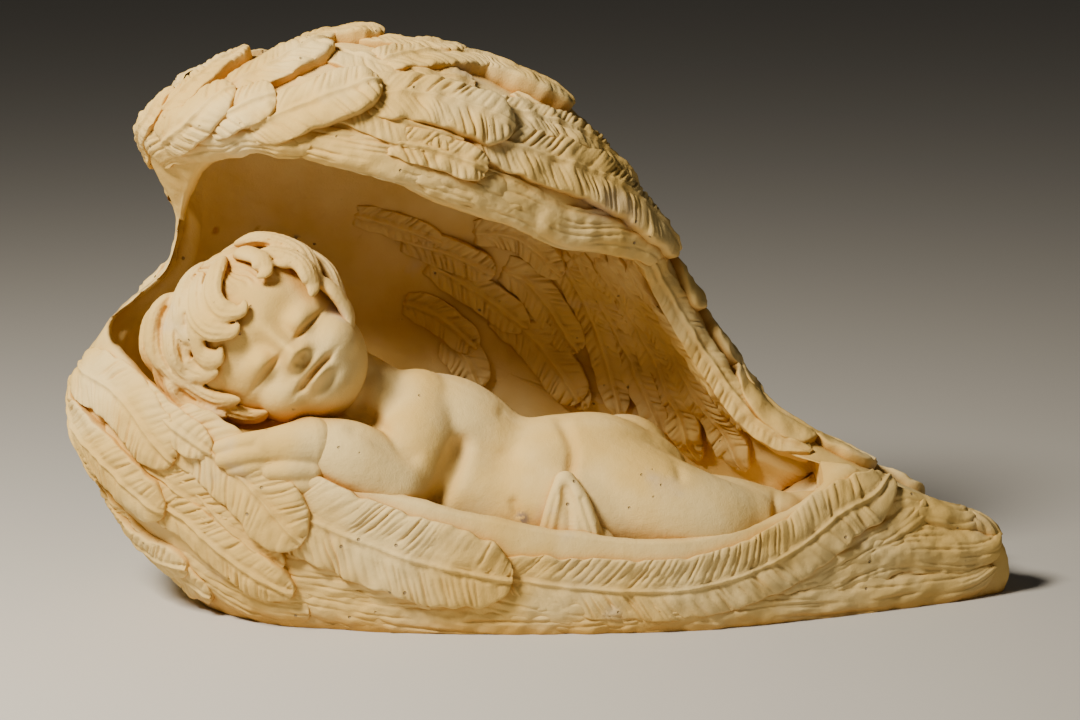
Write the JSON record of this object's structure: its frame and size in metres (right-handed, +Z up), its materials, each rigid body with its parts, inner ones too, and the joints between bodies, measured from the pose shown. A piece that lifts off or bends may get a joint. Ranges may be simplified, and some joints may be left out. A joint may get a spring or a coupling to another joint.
{
  "type": "sleeping angel statue",
  "caption": "Cast figurine of a sleeping cherub lying on its front inside a hollow of folded, feathered wings, standing on a flat underside.",
  "frame": {"origin": "on the surface it stands on, under the middle of its overall box", "axes": "+X towards the wing tips at the child's feet, +Y towards the back of the wings, +Z up; the open side faces -Y"},
  "size_m": [0.3003, 0.1187, 0.1825],
  "materials": {
    "plaster": "matt unpainted casting plaster"
  },
  "bodies": {
    "root": {"sleeping_angel": "plaster"}
  },
  "joints": []
}
